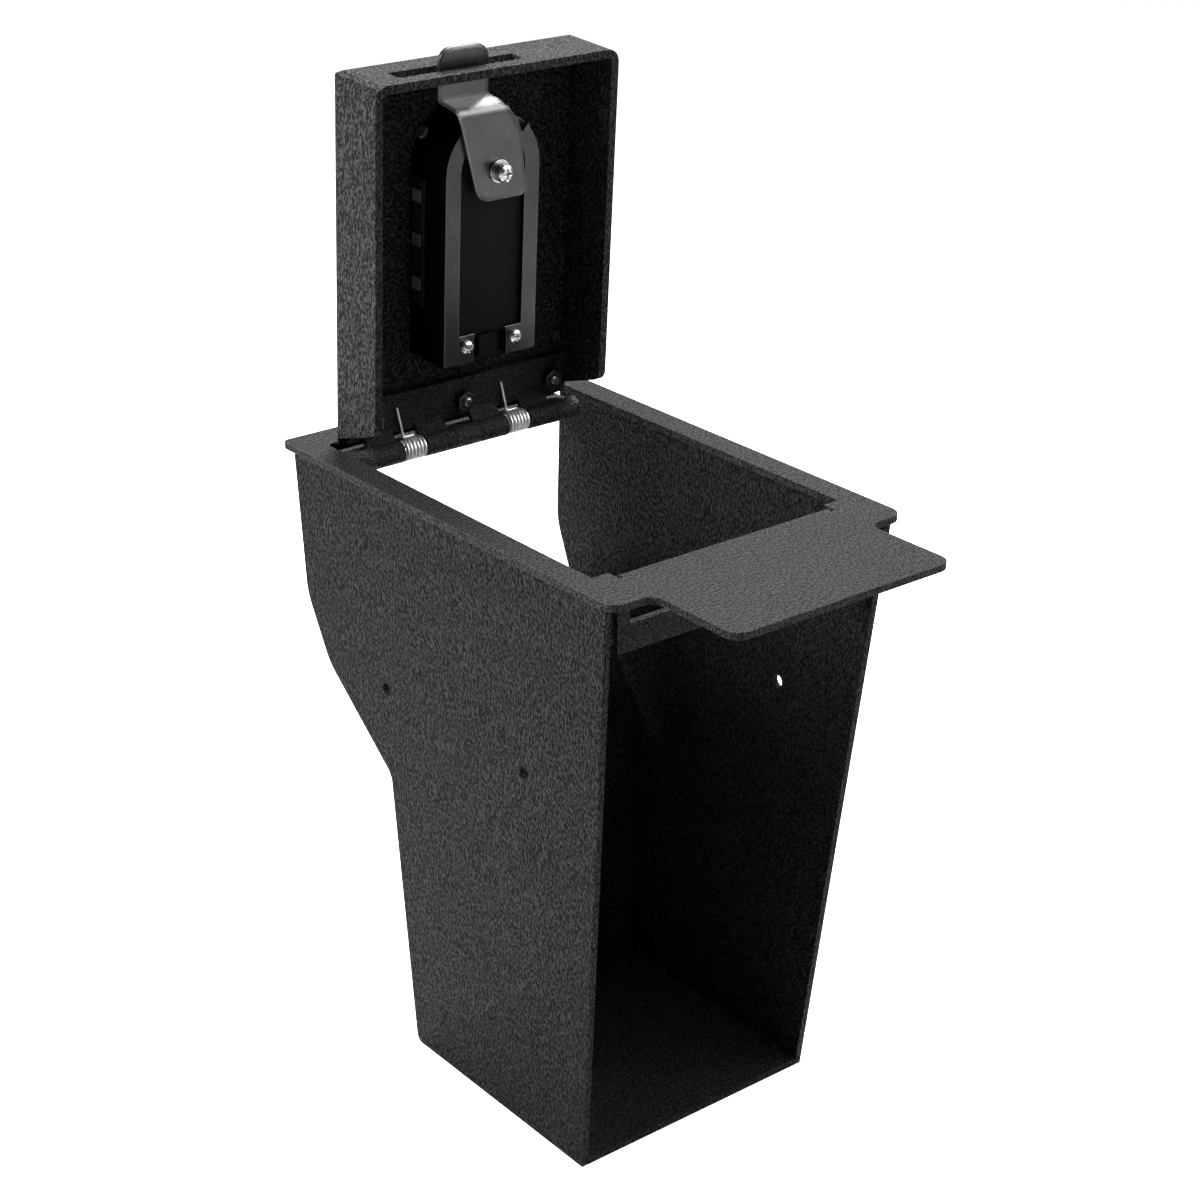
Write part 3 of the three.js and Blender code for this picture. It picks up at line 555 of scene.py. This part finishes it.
def stitches(name, side):
    rows = []
    for y in RIM_WELDS:
        x = panel_inside(side, PANEL_TOP, 0.2)
        rows.append([(x, y, PANEL_TOP - 0.1), (x, y + RIM_WELD_LENGTH, PANEL_TOP - 0.1)])
    for ends in WALL_WELDS:
        rows.append(
            [(panel_inside(side, z, 0.3), WALL_FOOT + z * WALL_RUN / WALL_RISE, z) for z in ends]
        )
    for ends in FLOOR_WELDS:
        rows.append([(panel_inside(side, 3, 0.2), y, FLOOR_TOP) for y in ends])
    rows = [[tuple(v * MM for v in point) for point in row] for row in rows]
    path = bead_path(name, *rows)
    lay_beads(name, path, 1.5, 1.9, 1.5, 0.8, panel_coat, "base")


stitches("left_weld_stitches", -1)
stitches("right_weld_stitches", 1)

# %% [markdown]
# The wrapper butts against both panels. On the real safe the coat bridges that joint, so that no
# light comes through between the welds. A row of boxes could fill it, but it would have to follow
# every bend. It is quicker to copy the wrapper's own side faces, to draw the copy out to the panel,
# and to wall in what lies between. The corners are put in order first, so that each run makes the
# same mesh.

# %% Coat over the long seams
SEAM = 0.42
SAME_POINT = 1e-6
SIDEWAYS = 0.9


def from_lowest(corners):
    k = corners.index(min(corners))
    return corners[k:] + corners[:k]


def side_faces(side):
    """The corners of the wrapper's side faces, and each face as a list of corners."""
    film = bmesh.new()
    film.from_mesh(nodes["wrapper_sheet"].data)
    bmesh.ops.remove_doubles(film, verts=film.verts, dist=SAME_POINT)
    film.normal_update()
    others = [face for face in film.faces if face.normal.x * side < SIDEWAYS]
    bmesh.ops.delete(film, geom=others, context="FACES")
    film.verts.index_update()
    points = [vert.co.copy() for vert in film.verts]
    skins = sorted(from_lowest([vert.index for vert in face.verts]) for face in film.faces)
    film.free()
    return points, skins


def seam_coat(name, side):
    inner, skins = side_faces(side)
    outer = [point + Vector((side * SEAM * MM, 0, 0)) for point in inner]
    count = len(inner)
    edges = {edge for skin in skins for edge in zip(skin, skin[1:] + skin[:1])}
    walls = [(a, b, b + count, a + count) for a, b in sorted(edges) if (b, a) not in edges]
    drawn = [[corner + count for corner in skin] for skin in skins]
    mesh = bpy.data.meshes.new(name)
    mesh.from_pydata(inner + outer, [], [skin[::-1] for skin in skins] + drawn + walls)
    piece = new_piece(name, mesh, panel_coat)
    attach(piece, "base")


seam_coat("left_seam_coat", -1)
seam_coat("right_seam_coat", 1)

# %% [markdown]
# Each torsion spring is one wire: a tail under the fixed leaf, five and a half curls round the pin,
# a bar back over the curls, and a kinked leg up the lid's leaf. As the lid closes, the curls wind
# up. A rigid wire would leave its tail or tear off its leg, so the wire is made in two meshes that
# meet at the last curl. The leg rides on the lid. The curls are a mesh of their own, which rides on
# no body. The sizes are in the lid's directions.

# %% The path of a spring's wire
WIRE = 0.55
CURL = 3.85
CURL_STEPS = 28
TURNS = 6
FIRST_TOUCH = math.radians(-80.5)
BAR = Vector((4.6, 3.3))
TAIL = 12.5
END_AIR = 0.15
BAR_END = 4.3
LEG_KINKS = ((4.1, 5.4, 6.3), (1.7, 5.5, 16))

bar_touch = math.atan2(BAR.y, BAR.x) + math.acos(CURL / BAR.length)
sweep = FIRST_TOUCH - bar_touch + 2 * math.pi * TURNS
print("each spring turns", round(math.degrees(sweep)), "degrees round the pin")


def coil_path(first, last):
    """The tail and the curls, from the spring's first turn to its last."""
    steps = round(sweep * CURL_STEPS / (2 * math.pi))
    points = []
    for i in range(steps + 1):
        angle = FIRST_TOUCH - sweep * i / steps
        x = first + (last - first) * i / steps
        points.append(Vector((x, CURL * math.cos(angle), CURL * math.sin(angle))))
    straight = Vector((0, -math.sin(FIRST_TOUCH), math.cos(FIRST_TOUCH)))
    return [points[0] + straight * TAIL] + points


def eased(points, reach=0.9, steps=5):
    """The same path with each corner drawn as a short arc."""
    path = [points[0]]
    for before, here, after in zip(points, points[1:], points[2:]):
        start = here + (before - here).normalized() * min(reach, (before - here).length / 2)
        end = here + (after - here).normalized() * min(reach, (after - here).length / 2)
        for k in range(steps + 1):
            s = k / steps
            path.append(start * (1 - s) ** 2 + here * 2 * s * (1 - s) + end * s * s)
    return path + [points[-1]]


# %% Hinge springs
SPRINGS = {"left": (-31.8, -21.5), "right": (17.9, 28.2)}
CUT_END = math.radians(60)


def wire_piece(name, points):
    path = bead_path(name, [lid_place @ point for point in points])
    path.data.bevel_depth = WIRE * MM
    path.data.bevel_resolution = 3
    path.data.use_fill_caps = True
    piece = new_piece(name, closed(as_mesh(path)), spring_wire, smooth=True)
    piece.data.set_sharp_from_angle(angle=CUT_END)
    return piece


for side, (left, right) in SPRINGS.items():
    first, last = left + END_AIR + WIRE, right - END_AIR - WIRE
    curls = coil_path(first, last)
    coil = wire_piece(f"hinge_spring_{side}_curls", curls)
    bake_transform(coil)
    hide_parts(f"hinge_spring_{side}")
    leg = curls[-2:] + [Vector((last, *BAR)), Vector((left + BAR_END, *BAR))]
    leg += [Vector((left + across, out, rise)) for across, out, rise in LEG_KINKS]
    upper = wire_piece(f"hinge_spring_{side}_leg", eased(leg))
    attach(upper, "lid")
    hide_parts(f"hinge_spring_{side}")

# %% [markdown]
# The knob outside the lid has a ribbed skirt for the fingers. One rib is a thin upright bead, and a
# ring of them is a rule, so the tree of the welds lays them round a circle too, in the lid's own
# directions. The ribs ride on the latch, so they turn with the knob.

# %% Knob ribs
LID_OUT = 12
AIR = 0.3
BEZEL = 2.1
SEAT = 0.8
RIB_RING = 13.75
RIB_MIDDLE = 1.5
RING_STEPS = 48

rib_out = LID_OUT + AIR + BEZEL - SEAT + AIR + RIB_MIDDLE
ring = []
for k in range(RING_STEPS + 1):
    angle = 2 * math.pi * k / RING_STEPS
    across, rise = RIB_RING * math.cos(angle), RIB_RING * math.sin(angle)
    ring.append(lid_place @ Vector((KNOB_ACROSS + across, rib_out, KNOB_UP + rise)))
path = bead_path("knob_ribs", ring)
lay_beads("knob_ribs", path, 1.1, 0.9, 2.6, 2.0, lock_plastic, "latch")

# %% [markdown]
# Each dial carries the numbers 0 to 9, one on each flat. They are printed. An image would need a
# layout for each dial and would blur near to. So each number is a letterform made a mesh, a tenth
# of a millimetre thick, and laid on its flat.

# %% Numbers on the dials
DIAL_UP = (50, 62, 74, 86)
DIAL_OUT = 7.1
DIAL_RADIUS = 9.0
FIGURES = 10
HALF_FLAT = 0.36
PRINT_LIFT = 0.06
FIGURE_HEIGHT = 4.6
PRINT_DEPTH = 0.05


def figure_mesh(text):
    data = bpy.data.curves.new("figure_" + text, "FONT")
    data.body = text
    data.size = FIGURE_HEIGHT
    data.extrude = PRINT_DEPTH
    data.align_x = "CENTER"
    data.align_y = "CENTER"
    return as_mesh(bpy.data.objects.new("figure_" + text, data))


flat_at = DIAL_RADIUS * math.cos(HALF_FLAT * 2 * math.pi / FIGURES) + PRINT_LIFT
for index, rise in enumerate(DIAL_UP, 1):
    row = bmesh.new()
    for number in range(FIGURES):
        figure = figure_mesh(str(number))
        angle = 2 * math.pi * number / FIGURES
        outward = Vector((math.sin(angle), math.cos(angle), 0))
        across = Vector((-math.cos(angle), math.sin(angle), 0))
        turn = Matrix((across, Vector((0, 0, 1)), outward)).transposed().to_4x4()
        centre = Vector((0, DIAL_OUT, rise)) + outward * flat_at
        figure.transform(lid_place @ Matrix.Translation(centre) @ turn)
        row.from_mesh(figure)
    mesh = bpy.data.meshes.new(f"dial_{index}_numbers")
    row.to_mesh(mesh)
    row.free()
    numbers = new_piece(f"dial_{index}_numbers", closed(mesh), figure_paint)
    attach(numbers, f"dial_{index}")

# %% [markdown]
# The safe stands on a pale floor. The floor keeps the safe's shadow, and its white comes from its
# own colour and from a glow that only the camera and glass see, never from stronger lamps. Shiny
# things see a little of that glow, because metal without anything pale to mirror looks black.

# %% Floor
REACH = 12
FLOOR_DROP = 0.0002
FLOOR_GLOW = 0.94
GLOW_IN_MIRRORS = 0.16

floor_mesh = bpy.data.meshes.new("floor")
corners = [(-REACH, -REACH, 0), (REACH, -REACH, 0), (REACH, REACH, 0), (-REACH, REACH, 0)]
floor_mesh.from_pydata(corners, [], [(0, 1, 2, 3)])
floor = bpy.data.objects.new("floor", floor_mesh)
bpy.context.scene.collection.objects.link(floor)
floor.location.z = -FLOOR_DROP

pale = Finish("pale_floor")
rays = pale.add("ShaderNodeLightPath").outputs
glow = pale.maths("MAXIMUM", rays["Is Camera Ray"], rays["Is Transmission Ray"])
mirrored = pale.maths("MULTIPLY", rays["Is Glossy Ray"], GLOW_IN_MIRRORS)
pale.finish(
    Base_Color=(0.86, 0.86, 0.86, 1),
    Roughness=0.9,
    Specular_IOR_Level=0.1,
    Emission_Color=(1, 1, 1, 1),
    Emission_Strength=pale.maths("MULTIPLY", pale.maths("MAXIMUM", glow, mirrored), FLOOR_GLOW),
)
floor_mesh.materials.append(pale.material)
print("the floor reaches", REACH, "m each way")

# %% [markdown]
# Beyond the floor, the surround is white to the camera and nearly dark to the safe, so that the
# black coat stays black. A photographer holds a bright card where a polished piece should mirror
# it. Here that card is a soft round patch of the surround that only shiny things see: it is what
# the bends of the cam mirror. A real card would work too, but it would hide the view from its side.

# %% White surround with a card
CARD_WAY = Vector((0.57, -0.41, 0.71)).normalized()
CARD_EDGE = 0.7
AROUND_CARD, CARD = 0.06, 5.0
LEAST_LIGHT = 0.006

world = bpy.data.worlds.new("white_surround")
bpy.context.scene.world = world
world.use_nodes = True
sky = Graph(world.node_tree)
rays = sky.add("ShaderNodeLightPath").outputs
seen = sky.maths("MAXIMUM", rays["Is Camera Ray"], rays["Is Transmission Ray"])
toward_card = sky.dot(sky.add("ShaderNodeTexCoord").outputs["Generated"], CARD_WAY)
card = sky.ramp(toward_card, AROUND_CARD, CARD, at=(CARD_EDGE, 1.0))
most = sky.maths("MAXIMUM", seen, sky.maths("MULTIPLY", rays["Is Glossy Ray"], card))
surround = sky.tree.nodes["Background"]
sky.join(sky.maths("MAXIMUM", most, LEAST_LIGHT), surround.inputs["Strength"])
surround.inputs["Color"].default_value = (1, 1, 1, 1)
print("the card is", round(math.degrees(math.acos(CARD_EDGE)) * 2), "degrees wide")

# %% [markdown]
# Black coat shows its grain only where light grazes it. The largest lamp stands high behind the
# right shoulder of the safe and lights the rim and the lid's top. A close one at the left gives the
# panel and the lid's wall their tone. A small one in front puts a glint on the screws, and a narrow
# spot reaches past the tongue to the floor of the shaft. One large lamp overhead would be simpler,
# but the walls would lose their grain.

# %% Lamps
def hang(name, data, place, target):
    """Hangs a lamp at a place and aims it."""
    hung = bpy.data.objects.new(name, data)
    hung.location = place
    hung.rotation_mode = "QUATERNION"
    hung.rotation_quaternion = (Vector(target) - Vector(place)).to_track_quat("-Z", "Y")
    bpy.context.scene.collection.objects.link(hung)
    print(name, data.energy, "W at", place)


def softbox(name, place, side, power):
    data = bpy.data.lights.new(name, "AREA")
    data.shape = "RECTANGLE"
    data.size = data.size_y = side
    data.energy = power
    hang(name, data, place, target=(0, 0, 0.2))


softbox("overhead_softbox", (0.6, 0.6, 1.25), side=0.6, power=40)
softbox("left_softbox", (-0.6, 0.3, 0.62), side=0.3, power=9)
softbox("front_glint", (0.85, -0.53, 1.43), side=0.3, power=3)

beam = bpy.data.lights.new("shaft_spot", "SPOT")
beam.energy = 26
beam.spot_size = math.radians(11)
beam.spot_blend = 0.6
beam.shadow_soft_size = 0.08
hang("shaft_spot", beam, (0.05, -0.9, 1.3), target=(0, -0.07, 0))

# %% [markdown] Nothing that was added reaches past the solids, so the dressed safe should be as
# large as the CAD model.
